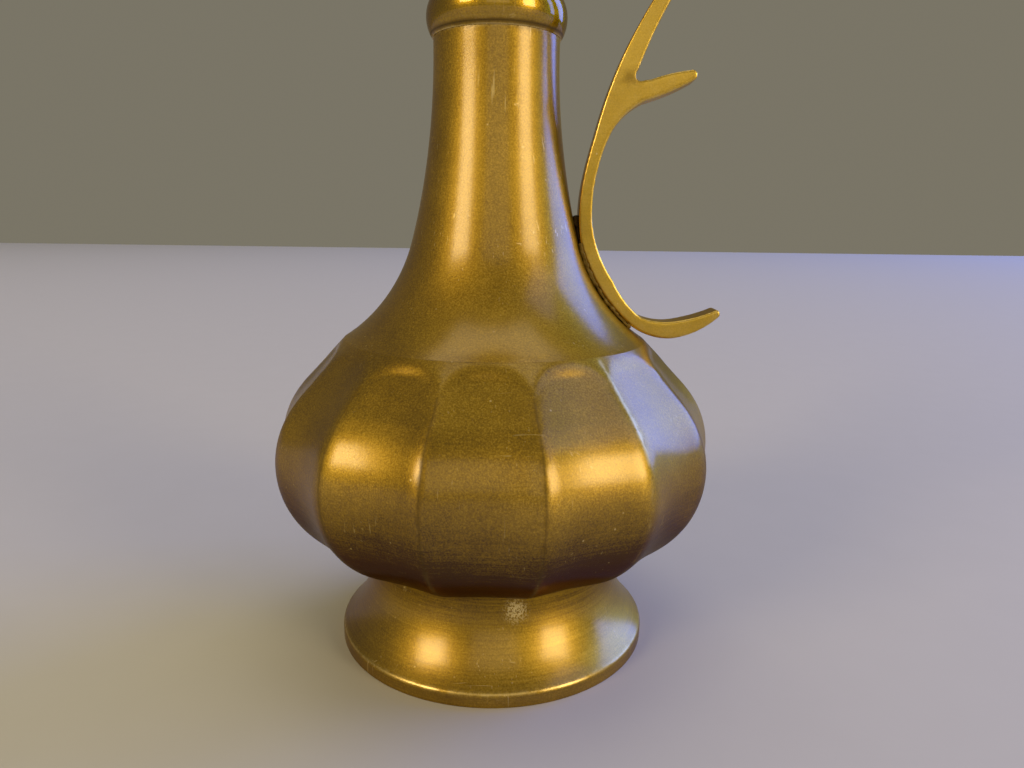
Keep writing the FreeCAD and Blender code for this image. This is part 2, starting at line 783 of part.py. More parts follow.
def build_hinge_pin():
    body = make_body("hinge_pin")
    half = f"({bracket_half} + running_gap)"
    dome = "(pin_head_radius^2 + pin_head_height^2) / (2 * pin_head_height)"
    profile = make_sketch(body, "pin_profile", "XY_Plane", lift=hinge_z, shift=hinge_r)
    turned(body, "pin_turned", draw(profile, [
        ("0", f"-{half} - pin_head_height", "left", dome),
        ("pin_head_radius", f"-{half}"),
        ("pin_radius", f"-{half}"),
        ("pin_radius", half),
        ("pin_head_radius", half, "left", dome),
        ("0", f"{half} + pin_head_height"),
    ]))
    return body


# Lid

def build_lid_dome():
    hole = "tenon_radius + running_gap"
    inner_curve = f"({dome_curve} - lid_wall)"
    body = turned_piece("lid_dome", [
        (f"sqrt({inner_curve}^2 - ({lid_z} - {dome_center_z})^2)", lid_z),
        (rim_r, lid_z),
        (rim_r, shelf_z),
        (dome_r, shelf_z, "left", dome_curve),
        ("finial_seat_radius", seat_z),
        (hole, seat_z),
        (hole, seat_under_z),
        ("finial_seat_radius", seat_under_z, "right", inner_curve),
    ])
    drill_pair(body, "shelf_holes", shelf_z, strap_rivet_x, "strap_rivet_spread", "shelf_thickness")
    return body


def build_lid_flange():
    return turned_piece("lid_flange", box_corners(
        f"{flange_r} - flange_wall", f"{lid_z} - flange_depth", flange_r, lid_z))


def build_lid_strap():
    body = make_body("lid_strap")
    leaf = draw(make_sketch(body, "leaf_outline", "XY_Plane", lift=shelf_z), [
        (strap_front, "-strap_width / 2"),
        (strap_wide_end, "-strap_width / 2"),
        (strap_wide_end, "-knuckle_width / 2"),
        (hinge_r, "-knuckle_width / 2"),
        (hinge_r, "knuckle_width / 2"),
        (strap_wide_end, "knuckle_width / 2"),
        (strap_wide_end, "strap_width / 2"),
        (strap_front, "strap_width / 2"),
    ])
    pushed(body, "leaf", leaf, "strap_thickness")
    barrel = ring(make_sketch(body, "knuckle_side", "XZ_Plane"), hinge_r, hinge_z, "knuckle_radius")
    pushed(body, "knuckle", barrel, "knuckle_width", both_ways=True)
    bore_side = make_sketch(body, "knuckle_bore_side", "XZ_Plane")
    bore = ring(bore_side, hinge_r, hinge_z, "pin_radius + running_gap")
    pushed(body, "knuckle_bore", bore, "knuckle_width + overrun", "Pocket", both_ways=True)
    drill_pair(body, "leaf_holes", strap_z, strap_rivet_x, "strap_rivet_spread", "strap_thickness")
    return body


def build_thumb_piece():
    body = make_body("thumb_piece")
    front = f"({strap_rivet_x} + rivet_head_radius + strap_margin)"
    back = f"{hinge_r} + thumb_lean"
    top = f"{strap_z} + thumb_height"
    sweep = "thumb_height + thumb_lean"
    side = draw(make_sketch(body, "thumb_side", "XZ_Plane"), [
        (front, strap_z),
        (hinge_r, strap_z, "right", sweep),
        (back, f"{top} - thumb_tip", "left", "thumb_tip"),
        (f"{back} - thumb_tip", top, "right", sweep),
    ])
    pushed(body, "thumb_cast", side, "thumb_width", both_ways=True)
    return body


rosette_z = f"({seat_z} + rosette_height)"
bud_z = f"({rosette_z} + finial_stem_height)"


def bud_rise(radius):
    """Height between a radius on the bud and the bud's widest place."""
    return f"sqrt(finial_bud_curve^2 - ({radius} - finial_bud_radius + finial_bud_curve)^2)"


def build_rosette():
    hole = "tenon_radius + running_gap"
    return turned_piece("finial_rosette", [
        (hole, seat_z),
        ("finial_seat_radius", seat_z, "left", "finial_seat_radius"),
        ("rosette_top_radius", rosette_z),
        (hole, rosette_z),
    ])


def build_finial():
    washer_z = f"({seat_under_z} - washer_thickness)"
    widest_z = f"({bud_z} + {bud_rise('finial_stem_radius')})"
    return turned_piece("finial", [
        ("0", f"{washer_z} - peen_height"),
        ("peen_radius", f"{washer_z} - peen_height"),
        ("peen_radius", washer_z),
        ("tenon_radius", washer_z),
        ("tenon_radius", rosette_z),
        ("rosette_top_radius", rosette_z, "right", "finial_stem_height"),
        ("finial_stem_radius", bud_z, "left", "finial_bud_curve"),
        ("finial_bud_radius", widest_z, "left", "finial_bud_curve"),
        ("finial_tip_radius", f"{widest_z} + {bud_rise('finial_tip_radius')}", "right", "finial_bud_radius"),
        ("0", f"{bud_z} + finial_bud_height"),
    ])


def build_washer():
    hole = "tenon_radius + running_gap"
    low_z = f"{seat_under_z} - washer_thickness"
    return turned_piece("finial_washer", box_corners(hole, low_z, "washer_radius", seat_under_z))


pieces = [
    build_foot(),
    build_bowl(),
    build_floor(),
    build_neck(),
    build_collar(),
    build_mouth_cup(),
    build_rim_ring(),
    build_pouring_lip(),
    build_handle(),
    build_handle_solder(),
    build_hinge_bracket(),
    rivet_pair("bracket_rivets", bracket_rivet_x, "rivet_spread", rivet_low_z, bracket_top_z),
    build_hinge_pin(),
    build_lid_dome(),
    build_lid_flange(),
    build_lid_strap(),
    rivet_pair("strap_rivets", strap_rivet_x, "strap_rivet_spread", lid_z, strap_z),
    build_thumb_piece(),
    build_rosette(),
    build_finial(),
    build_washer(),
]
doc.recompute()

for item in doc.Objects:
    if {"Invalid", "Error"} & set(item.State):
        raise RuntimeError(f"{item.Label}: {item.State}")
for piece in pieces:
    if piece.Shape.isNull() or not piece.Shape.isValid():
        raise RuntimeError(f"{piece.Label}: the shape is not valid")

os.makedirs("parts", exist_ok=True)
for piece in pieces:
    piece.Shape.exportStep(f"parts/{piece.Label}.step")
    print(piece.Label, round(piece.Shape.Volume / 1000, 2), "cm3", len(piece.Shape.Solids), "solid(s)")
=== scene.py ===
import math

import bmesh
import bpy
from mathutils import Matrix, Vector, noise


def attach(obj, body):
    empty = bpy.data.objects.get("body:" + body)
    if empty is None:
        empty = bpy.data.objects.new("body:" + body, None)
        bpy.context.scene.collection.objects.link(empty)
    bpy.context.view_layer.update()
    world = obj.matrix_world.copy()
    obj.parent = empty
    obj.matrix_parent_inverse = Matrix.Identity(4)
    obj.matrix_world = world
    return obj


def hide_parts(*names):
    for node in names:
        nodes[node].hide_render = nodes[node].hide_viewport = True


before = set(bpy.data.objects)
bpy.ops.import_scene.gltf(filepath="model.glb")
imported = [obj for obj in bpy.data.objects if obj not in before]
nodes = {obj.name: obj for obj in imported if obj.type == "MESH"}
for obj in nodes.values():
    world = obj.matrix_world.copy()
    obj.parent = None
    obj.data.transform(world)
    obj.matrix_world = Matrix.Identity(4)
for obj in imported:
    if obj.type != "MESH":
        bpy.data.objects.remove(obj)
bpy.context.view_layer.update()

mm = 0.001  # shapes are given in millimetres, lamps and finishes in metres
print("frame loaded with", len(nodes), "nodes")


# shader desk

class Wire:  # a socket that takes part in sums
    def __init__(self, desk, socket):
        self.desk = desk
        self.socket = socket

    def math(self, operation, first, second):
        return self.desk.node("ShaderNodeMath", {"operation": operation}, {0: first, 1: second})

    def __add__(self, other):
        return self.math("ADD", self, other)

    def __radd__(self, other):
        return self.math("ADD", other, self)

    def __sub__(self, other):
        return self.math("SUBTRACT", self, other)

    def __rsub__(self, other):
        return self.math("SUBTRACT", other, self)

    def __mul__(self, other):
        return self.math("MULTIPLY", self, other)


class Desk:  # one material and its nodes
    def __init__(self, name):
        self.material = bpy.data.materials.new(name)
        self.material.use_nodes = True
        self.tree = self.material.node_tree
        self.shader = self.tree.nodes["Principled BSDF"]

    def node(self, kind, settings, inputs, out=0):
        made = self.tree.nodes.new(kind)
        for key, setting in settings.items():
            if key == "stops":
                self.setStops(made.color_ramp.elements, setting)
            else:
                setattr(made, key, setting)
        self.plug(made, inputs)
        return Wire(self, made.outputs[out])

    def setStops(self, elements, stops):
        while len(elements) < len(stops):
            elements.new(1.0)
        for element, (place, shade) in zip(elements, stops):
            element.position = place
            element.color = (*shade, 1)

    def plug(self, made, inputs):
        for key, source in inputs.items():
            if isinstance(source, Wire):
                self.tree.links.new(source.socket, made.inputs[key])
            elif isinstance(source, tuple) and len(source) == 3 and made.inputs[key].type == "RGBA":
                made.inputs[key].default_value = (*source, 1)
            else:
                made.inputs[key].default_value = source

    def place(self, scale=(1, 1, 1), turn=(0, 0, 0)):
        spot = self.node("ShaderNodeTexCoord", {}, {}, "Object")
        return self.node("ShaderNodeMapping", {}, {"Vector": spot, "Rotation": turn, "Scale": scale})

    def cloud(self, where, scale, detail=2.0, roughness=0.5):
        return self.node("ShaderNodeTexNoise", {}, {
            "Vector": where, "Scale": scale, "Detail": detail, "Roughness": roughness})

    def step(self, source, low, high):  # 0 below low, 1 above high
        return self.node("ShaderNodeMapRange", {"interpolation_type": "SMOOTHSTEP"}, {
            0: source, 1: low, 2: high, 3: 0.0, 4: 1.0})

    def mask(self, name):
        return self.node("ShaderNodeAttribute", {"attribute_name": name}, {}, "Fac")

    def blend(self, share, first, second):
        return self.node("ShaderNodeMix", {"data_type": "RGBA"}, {0: share, 6: first, 7: second}, 2)


brassLook = dict(
    deep=(0.090, 0.040, 0.001),
    olive=(0.350, 0.205, 0.005),
    gold=(0.640, 0.405, 0.030),
    worn=(0.800, 0.600, 0.210),
    soil=(0.050, 0.030, 0.010),
    tone=0.58,
    mottle=0.35,
    mottleScale=42.0,
    grain=0.55,
    grainScale=2600.0,
    roughness=0.42,
    lacquer=0.62,
    lacquerRoughness=0.21,
    lacquerIor=1.7,
    edgeTint=(0.42, 0.30, 0.08),
    streaks=0.10,
    streakStretch=(30, 30, 2400),
    scratches=0.30,
    scratchStretchA=(1500, 1500, 38),
    scratchTurnA=(0.25, 0.15, 0.4),
    scratchStretchB=(46, 1900, 900),
    scratchTurnB=(0.5, 0.7, 0.2),
    rubbedScale=95.0,
    specks=0.7,
    speckScale=330.0,
    wearAndSheenScale=420.0,
    spots=(),      # worn patches, each a place in metres and a reach
    spotScale=2300.0,
    soilAndShadeScale=260.0,
    soilLumps=900.0,
    tarnish=None,  # painted shade: heights in metres where the darker part starts and where it is full, and how dark
    tarnishWaver=0.008,
    tarnishLacquer=0.65,  # share of the lacquer that is gone there
    brushed=0.9,
    brushStretch=(70, 70, 2200),
    brushTurn=(0.16, 0.10, 0),
    bump=0.12,
    bumpDepth=0.0006,
)


def brassFinish(name, **changes):
    look = {**brassLook, **changes}
    desk = Desk(name)
    spot = desk.place()
    mottle = desk.cloud(spot, look["mottleScale"], 5.0, 0.6)
    grain = desk.cloud(spot, look["grainScale"], 2.0, 0.7)
    rings = desk.cloud(desk.place(look["streakStretch"]), 1.0, 3.0, 0.6)  # lines left by turning
    scratchA = desk.cloud(desk.place(look["scratchStretchA"], look["scratchTurnA"]), 1.0, 2.0)
    scratchB = desk.cloud(desk.place(look["scratchStretchB"], look["scratchTurnB"]), 1.0, 2.0)
    rubbed = desk.cloud(spot, look["rubbedScale"], 3.0)
    scratch = desk.step(scratchA, 0.66, 0.72) + desk.step(scratchB, 0.68, 0.73)
    scratch = scratch * desk.step(rubbed, 0.5, 0.66) * look["scratches"]
    cells = {"Vector": spot, "Scale": look["speckScale"]}
    speckHere = desk.step(desk.node("ShaderNodeTexVoronoi", {}, cells, "Color"), 0.72, 0.76)
    speck = 1 - desk.step(desk.node("ShaderNodeTexVoronoi", {}, cells, "Distance"), 0.04, 0.10)
    # this mask holds real wear, and also painted highlights at the neck's top and the collar's lower edge
    wear = desk.mask("wear")
    wear = wear * desk.step(desk.cloud(spot, look["wearAndSheenScale"], 3.0, 0.7) + wear * 0.35, 0.46, 0.72)
    for place, reach in look["spots"]:
        away = desk.node("ShaderNodeVectorMath", {"operation": "DISTANCE"}, {0: spot, 1: place}, "Value")
        patch = 1 - desk.step(away, reach * 0.2, reach)
        flecks = desk.cloud(spot, look["spotScale"], 2.0, 0.8)
        wear = wear + patch * desk.step(flecks + patch * 0.12, 0.54, 0.62)
    # this mask holds dirt, and also painted shade in gaps, under edges and along the bowl's ridges
    soil = desk.mask("soil")
    soil = soil * desk.step(desk.cloud(spot, look["soilAndShadeScale"], 4.0, 0.7) + soil * 0.45, 0.42, 0.74)

    lacquer = (1 - soil) * look["lacquer"]
    tone = look["tone"] + (mottle - 0.5) * look["mottle"] * 2.0 + (grain - 0.5) * look["grain"] * 2.0
    tone = tone + (rings - 0.5) * look["streaks"] * 2.0
    rough = look["roughness"] + (mottle - 0.5) * 0.12 + (grain - 0.5) * 0.22 - wear * 0.10 + soil * 0.25
    # painted shade: a band darkened by height stands in for shade and dark reflections, with brushed streaks
    # in it
    if look["tarnish"]:
        start, full, depth = look["tarnish"]
        height = desk.node("ShaderNodeSeparateXYZ", {}, {0: spot}, "Z")
        dark = desk.step(height + (mottle - 0.5) * look["tarnishWaver"], start, full)
        brushed = desk.cloud(desk.place(look["brushStretch"], look["brushTurn"]), 1.0, 3.0, 0.6)
        tone = tone - dark * depth + dark * (brushed - 0.5) * look["brushed"]
        rough = rough - dark * 0.06
        lacquer = lacquer * (1 - dark * look["tarnishLacquer"])
    base = desk.node("ShaderNodeValToRGB", {"stops": [
        (0.0, look["deep"]), (0.55, look["olive"]), (1.0, look["gold"])]}, {0: tone}, "Color")
    base = desk.blend(speck * speckHere * look["specks"], base, look["worn"])
    base = desk.blend(scratch, base, look["worn"])
    base = desk.blend(wear, base, look["worn"])
    base = desk.blend(soil, base, look["soil"])

    relief = (grain - 0.5) * look["grain"] + (rings - 0.5) * look["streaks"] - scratch * 0.5
    relief = relief + soil * desk.cloud(spot, look["soilLumps"], 3.0) * 0.8
    normal = desk.node("ShaderNodeBump", {}, {
        "Strength": look["bump"], "Distance": look["bumpDepth"], "Height": relief})
    desk.plug(desk.shader, {
        "Base Color": base,
        "Metallic": 1 - soil * 0.7,
        "Roughness": rough,
        "Normal": normal,
        "Coat Weight": lacquer,
        "Coat Roughness": look["lacquerRoughness"],
        "Coat IOR": look["lacquerIor"],
        "Specular Tint": look["edgeTint"],
    })
    return desk.material


# the lower bowl is darkened as a painted reflection of a dark surface below it
bowlBrass = brassFinish("bowlBrass", tarnish=(0.0550, 0.0325, 0.76), streaks=0.03)
neckBrass = brassFinish("neckBrass", streaks=0.05, scratches=0.6, roughness=0.46)
# the top of the foot is darkened as painted shade under the bowl
footBrass = brassFinish(
    "footBrass", streaks=0.22, scratches=0.5, grain=0.4, roughness=0.40, specks=0.3,
    tarnish=(0.0130, 0.0225, 0.34),
    spots=[((0.0066, -0.0311, 0.0190), 0.0042), ((-0.0205, -0.0245, 0.0206), 0.0014)])
turnedBrass = brassFinish("turnedBrass", streaks=0.16, grain=0.3, roughness=0.30, lacquerRoughness=0.06)
castBrass = brassFinish(
    "castBrass", deep=(0.30, 0.17, 0.010), olive=(0.64, 0.41, 0.034), gold=(0.86, 0.585, 0.080),
    worn=(0.88, 0.70, 0.30), roughness=0.36, lacquer=0.45, grain=0.3, mottleScale=70.0)
innerBrass = brassFinish("innerBrass", roughness=0.5, lacquer=0.0, scratches=0.1)
solderAndGapShade = brassFinish(
    "solderAndGapShade", deep=(0.040, 0.024, 0.006), olive=(0.34, 0.22, 0.035), gold=(0.66, 0.46, 0.11),
    roughness=0.55, lacquer=0.0, grain=0.6, grainScale=800.0, mottle=0.6, mottleScale=260.0, bump=0.5)
print("finishes mixed")


# modelling bench

def traceOutline(bm, corners):
    # a corner is radius, height, then steps, turn and radius of the edge that leaves it
    spots = [Vector((corner[0] * mm, 0, corner[1] * mm)) for corner in corners]
    last = bm.verts.new(spots[0])
    for number, corner in enumerate(corners):
        end = spots[(number + 1) % len(spots)]
        steps = corner[2] if len(corner) > 2 else 1
        if len(corner) > 4:
            last = traceArc(bm, last, end, steps, corner[3], corner[4] * mm)
        else:
            start = last.co.copy()
            for step in range(1, steps + 1):
                after = bm.verts.new(start.lerp(end, step / steps))
                bm.edges.new((last, after))
                last = after
    bmesh.ops.remove_doubles(bm, verts=bm.verts[:], dist=0.5e-6)


def traceArc(bm, vert, end, steps, turn, radius):
    chord = end - vert.co
    rise = math.sqrt(max(radius ** 2 - (chord.length / 2) ** 2, 0))
    side = Vector((-chord.z, 0, chord.x)).normalized()
    center = (vert.co + end) / 2 + side * (rise if turn == "left" else -rise)
    sweep = 2 * math.asin(min(chord.length / 2 / radius, 1))
    made = bmesh.ops.spin(
        bm, geom=[vert], cent=center, axis=(0, 1, 0), angle=-sweep if turn == "left" else sweep, steps=steps)
    return next(item for item in made["geom_last"] if isinstance(item, bmesh.types.BMVert))


def turnOutline(corners, turns, softEdge):
    bm = bmesh.new()
    traceOutline(bm, corners)
    bmesh.ops.spin(
        bm, geom=bm.verts[:] + bm.edges[:], cent=(0, 0, 0), axis=(0, 0, 1), angle=math.tau, steps=turns,
        use_merge=True)
    bmesh.ops.remove_doubles(bm, verts=bm.verts[:], dist=0.5e-6)
    bmesh.ops.recalc_face_normals(bm, faces=bm.faces[:])
    if softEdge:
        softenEdges(bm, softEdge)
    return bm


def softenEdges(bm, width, angle=40.0):
    hard = [edge for edge in bm.edges if len(edge.link_faces) == 2
            and edge.calc_face_angle() > math.radians(angle)]
    bmesh.ops.bevel(
        bm, geom=hard, offset=width * mm, offset_type="OFFSET", segments=3, profile=0.5, affect="EDGES",
        material=-1)


def copyNode(name):
    bm = bmesh.new()
    bm.from_mesh(nodes[name].data)
    bmesh.ops.remove_doubles(bm, verts=bm.verts[:], dist=2e-6)
    return bm


def remeshed(bm, voxel):
    rough = bpy.data.meshes.new("rough")
    bm.to_mesh(rough)
    bm.free()
    holder = bpy.data.objects.new("rough", rough)
    bpy.context.scene.collection.objects.link(holder)
    grid = holder.modifiers.new("grid", "REMESH")
    grid.mode = "VOXEL"
    grid.voxel_size = voxel * mm
    graph = bpy.context.evaluated_depsgraph_get()
    even = bpy.data.meshes.new_from_object(holder.evaluated_get(graph))
    made = bmesh.new()
    made.from_mesh(even)
    bpy.data.objects.remove(holder)
    bpy.data.meshes.remove(rough)
    bpy.data.meshes.remove(even)
    return made


def relax(bm, rounds, factor=0.5):
    for _ in range(rounds):
        bmesh.ops.smooth_vert(
            bm, verts=bm.verts[:], factor=factor, use_axis_x=True, use_axis_y=True, use_axis_z=True)


def wobble(bm, amount, scale):  # hand-worked metal is never quite even
    bm.normal_update()
    for vert in bm.verts:
        vert.co += vert.normal * noise.noise(vert.co * scale) * amount * mm


def paintMask(bm, name, rule):
    layer = bm.verts.layers.float.new(name)
    for vert in bm.verts:
        vert[layer] = min(max(rule(vert), 0.0), 1.0)


def peak(value, middle, width):
    return math.exp(-((value - middle) / width) ** 2)


def bands(*rows):  # a band is a strength, a height and a reach
    return lambda vert: sum(
        strength * peak(vert.co.z / mm, height, reach) for strength, height, reach in rows)


def hoop(strength, radius, reach):
    return lambda vert: strength * peak(vert.co.xy.length / mm, radius, reach)


def edgeRub(strength, lean, reach):  # rubbed where the surface turns from front to side
    return lambda vert: strength * peak(abs(vert.normal.y), lean, reach)


def putAway(name, bm, material, body, slot, *replaced, hardAngle=38.0):
    for face in bm.faces:
        face.smooth = True
    for edge in bm.edges:
        if len(edge.link_faces) == 2 and edge.calc_face_angle() > math.radians(hardAngle):
            edge.smooth = False
    mesh = bpy.data.meshes.new(name)
    bm.to_mesh(mesh)
    bm.free()
    mesh.materials.append(material)
    piece = bpy.data.objects.new(name, mesh)
    bpy.context.scene.collection.objects.link(piece)
    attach(piece, body)
    if replaced:
        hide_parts(*replaced)


# foot

foot = dict(
    radius=39.9, rimHeight=3.4, step=0.3, wall=1.4, height=23.2, throat=31.1, flange=7.0, flare=27.311,
    softRim=1.6, leave=45.0, rimRise=0.2, softEdge=0.22, turns=180, wornHeight=3.3, wornOutside=38.5)
footInner = foot["radius"] - foot["step"] - foot["wall"]
footLeave = math.radians(foot["leave"])  # the rim rounds over until it runs into the flare
footTop = foot["rimHeight"] + foot["rimRise"]
footMesh = turnOutline([
    (footInner, 0),
    (foot["radius"], 0, 3),
    (foot["radius"], footTop - foot["softRim"] * math.sin(footLeave), 8, "left", foot["softRim"]),
    (foot["radius"] - foot["softRim"] * (1 - math.cos(footLeave)), footTop, 40, "right", foot["flare"]),
    (foot["throat"], foot["height"]),
    (foot["throat"] - foot["flange"], foot["height"]),
    (foot["throat"] - foot["flange"], foot["height"] - foot["wall"]),
    (foot["throat"] - foot["wall"], foot["height"] - foot["wall"], 12, "left", foot["flare"]),
    (footInner, foot["rimHeight"] - foot["wall"]),
], foot["turns"], foot["softEdge"])
rimBand = bands((0.5, foot["wornHeight"], 0.35))
paintMask(footMesh, "wear", lambda vert: rimBand(vert) * (vert.co.xy.length > foot["wornOutside"] * mm))
# painted shade where the foot meets the bowl; a darker band along the bottom edge
paintMask(footMesh, "soil", bands((0.7, foot["height"], 1.2), (0.4, 0, 0.5)))
putAway("footSpun", footMesh, footBrass, "ewer", "spun_brass", "foot")
print("foot turned")


# bowl

bowl = dict(
    baseRadius=31.5, baseHeight=foot["height"], coneRadius=38.09, coneHeight=25.6, lowerCurve=26.0,
    radius=55.2, equator=50.03, upperCurve=24.0, flankRadius=48.32, flankHeight=66.85,
    seamRadius=37.37, seamHeight=78.0, bore=29.5, floor=24.8,
    innerLowRadius=36.83, innerLowHeight=29.08, innerCurve=22.3, innerRadius=51.5, innerUpperCurve=20.3,
    innerFlankRadius=47.03, innerFlankHeight=62.75, innerSeam=34.77,
    flutes=14, fluteSteps=40, fluteAxis=140.0, softRidge=0.10, softArch=1.0,
    archTop=77.7, archDrop=3.4, archFade=3.4,
    fluteDepth=[
        (23.93, 0.0), (25.6, 1.3), (27.0, 1.67), (30.0, 1.98), (35.0, 2.17), (42.0, 2.27), (50.0, 2.3),
        (65.0, 2.3), (69.0, 1.9), (72.0, 1.5), (75.0, 1.05), (78.0, 0.6)],
    wornRidge=-2, wornFrom=58.0, wornTo=77.5, wornWidth=0.55, lineWidth=0.6, lineTop=72.0, seamDarkHeight=77.9,
    wobble=0.10, wobbleScale=45.0,
)


def fluteDepthAt(height):
    table = bowl["fluteDepth"]
    pair = next((number for number in range(1, len(table)) if height < table[number][0]), len(table) - 1)
    (lowZ, lowDepth), (highZ, highDepth) = table[pair - 1], table[pair]
    return lowDepth + (highDepth - lowDepth) * (height - lowZ) / (highZ - lowZ)


def ridgeSpot(vert):  # angle from the nearest ridge, and which ridge that is
    pitch = math.tau / bowl["flutes"]
    turn = math.atan2(vert.co.y, vert.co.x) / pitch
    ridge = round(turn)
    return (turn - ridge) * pitch, ridge


def fluted(radius, height, offRidge):
    half = math.pi / bowl["flutes"]
    soft = half * bowl["softRidge"]
    away = abs(offRidge)
    across = half - math.sqrt(away ** 2 + soft ** 2) + soft * (1 - away / half)
    axis = bowl["fluteAxis"]
    middle = radius - fluteDepthAt(height)
    side = radius * math.sin(across)
    panel = math.hypot(axis - math.sqrt((axis - middle) ** 2 - side ** 2), side)
    share = min(max(0.5 + 0.5 * (radius - panel) / bowl["softArch"], 0), 1)
    archTop = bowl["archTop"] - bowl["archDrop"] * (1 - away / half) ** 4
    fade = min(max((archTop - height) / bowl["archFade"], 0), 1)
    fade = fade * fade * (3 - 2 * fade)
    return radius + fade * ((panel - radius) * share - bowl["softArch"] * share * (1 - share))


bowlMesh = turnOutline([
    (bowl["baseRadius"], bowl["baseHeight"], 8),
    (bowl["coneRadius"], bowl["coneHeight"], 34, "left", bowl["lowerCurve"]),
    (bowl["radius"], bowl["equator"], 26, "left", bowl["upperCurve"]),
    (bowl["flankRadius"], bowl["flankHeight"], 30),
    (bowl["seamRadius"], bowl["seamHeight"]),
    (bowl["innerSeam"], bowl["seamHeight"], 6),
    (bowl["innerFlankRadius"], bowl["innerFlankHeight"], 6, "right", bowl["innerUpperCurve"]),
    (bowl["innerRadius"], bowl["equator"], 8, "right", bowl["innerCurve"]),
    (bowl["innerLowRadius"], bowl["innerLowHeight"]),
    (bowl["bore"], bowl["floor"]),
    (bowl["bore"], bowl["baseHeight"]),
], bowl["flutes"] * bowl["fluteSteps"], 0)
bowlMesh.normal_update()
for vert in bowlMesh.verts:
    radius = vert.co.xy.length / mm
    height = vert.co.z / mm
    if vert.normal.xy.dot(vert.co.xy) > 0 and radius > bowl["bore"] + 1:
        offRidge, _ = ridgeSpot(vert)
        vert.co.xy *= fluted(radius, height, offRidge) / radius


def ridgeWear(vert):
    offRidge, ridge = ridgeSpot(vert)
    near = peak(offRidge * vert.co.xy.length / mm, 0, bowl["wornWidth"])
    if ridge == bowl["wornRidge"]:
        return near * (0.25 + 0.6 * (bowl["wornFrom"] < vert.co.z / mm < bowl["wornTo"]))
    return near * 0.12


seamBands = bands((0.2, bowl["seamDarkHeight"], 1.6), (0.6, bowl["baseHeight"], 1.4))


def bowlRidgeShadeAndSeams(vert):  # painted shade as dark lines along the ridges, and darker bands at the two seams
    offRidge, ridge = ridgeSpot(vert)
    lined = ridge != bowl["wornRidge"] and vert.co.z / mm < bowl["lineTop"]
    line = 0.62 * peak(offRidge * vert.co.xy.length / mm, 0, bowl["lineWidth"]) * lined
    return line + seamBands(vert)


paintMask(bowlMesh, "wear", ridgeWear)
paintMask(bowlMesh, "soil", bowlRidgeShadeAndSeams)
wobble(bowlMesh, bowl["wobble"], bowl["wobbleScale"])
putAway("bowlFluted", bowlMesh, bowlBrass, "ewer", "spun_brass", "bowl")
print("bowl fluted")


# neck and collar

neck = dict(
    seamRadius=bowl["seamRadius"], seamHeight=bowl["seamHeight"], shoulderCurve=40.0,
    waistRadius=20.43, waistHeight=101.34, curve=170.5, radius=14.75, straight=145.0,
    top=147.6, wall=1.4, jointBore=33.27, jointTop=79.0, turns=180, wobble=0.08, wobbleScale=40.0)
neckBore = neck["radius"] - neck["wall"]
neckMesh = turnOutline([
    (neck["seamRadius"], neck["seamHeight"], 40, "right", neck["shoulderCurve"]),
    (neck["waistRadius"], neck["waistHeight"], 40, "right", neck["curve"]),
    (neck["radius"], neck["straight"], 4),
    (neck["radius"], neck["top"]),
    (neckBore, neck["top"], 4),
    (neckBore, neck["straight"] - neck["wall"], 20, "left", neck["curve"]),
    (neck["waistRadius"] - neck["wall"], neck["waistHeight"] - neck["wall"],
     20, "left", neck["shoulderCurve"]),
    (neck["jointBore"], neck["jointTop"]),
    (neck["jointBore"], neck["seamHeight"]),
], neck["turns"], 0)
# painted highlight: a bright band at the neck's top edge, where it meets the collar
paintMask(neckMesh, "wear", bands((0.5, neck["top"], 0.35)))
# painted shade under the collar's bead at the top; a darker band at the shoulder seam
paintMask(neckMesh, "soil", bands((0.2, neck["seamHeight"], 1.8), (0.4, neck["top"], 0.8)))
wobble(neckMesh, neck["wobble"], neck["wobbleScale"])
putAway("neckSpun", neckMesh, neckBrass, "ewer", "spun_brass", "neck")

collar = dict(
    inner=14.15, edge=14.95, low=neck["top"], high=156.6, bead=7.71, turns=160, lowShade=148.3, highDark=156.4)
collarMesh = turnOutline([
    (collar["inner"], collar["low"]),
    (collar["edge"], collar["low"], 22, "left", collar["bead"]),
    (collar["edge"], collar["high"]),
    (collar["inner"], collar["high"]),
], collar["turns"], 0)
# painted highlight: a bright band along the bead's lower edge
paintMask(collarMesh, "wear", bands((0.7, collar["low"], 0.25)))
# painted shade under the bead; a darker band at the top where the cup goes in
paintMask(collarMesh, "soil", bands((0.9, collar["lowShade"], 0.45), (0.7, collar["highDark"], 0.5)))
putAway("collarBead", collarMesh, turnedBrass, "ewer", "spun_brass", "neck_collar")
print("neck and collar turned")


# mouth and rim

cup = dict(low=156.8)
cupMesh = copyNode("mouth_cup")
paintMask(cupMesh, "soil", bands((0.7, cup["low"], 0.8)))
putAway("mouthCup", cupMesh, neckBrass, "ewer", "spun_brass", "mouth_cup", hardAngle=30.0)

rim = dict(
    bore=22.7, radius=24.6, low=187.0, top=191.6, round=1.2, mouth=21.2, seat=190.0, softEdge=0.12, turns=160)
rimMesh = turnOutline([
    (rim["bore"], rim["low"]),
    (rim["radius"] - rim["round"], rim["low"], 6, "left", rim["round"]),
    (rim["radius"], rim["low"] + rim["round"]),
    (rim["radius"], rim["top"] - rim["round"], 6, "left", rim["round"]),
    (rim["radius"] - rim["round"], rim["top"]),
    (rim["mouth"], rim["top"]),
    (rim["mouth"], rim["seat"]),
    (rim["bore"], rim["seat"]),
], rim["turns"], rim["softEdge"])
paintMask(rimMesh, "wear", hoop(0.6, rim["radius"], 0.25))
paintMask(rimMesh, "soil", bands((0.6, rim["low"], 0.4)))
putAway("rimRing", rimMesh, turnedBrass, "ewer", "spun_brass", "rim_ring")

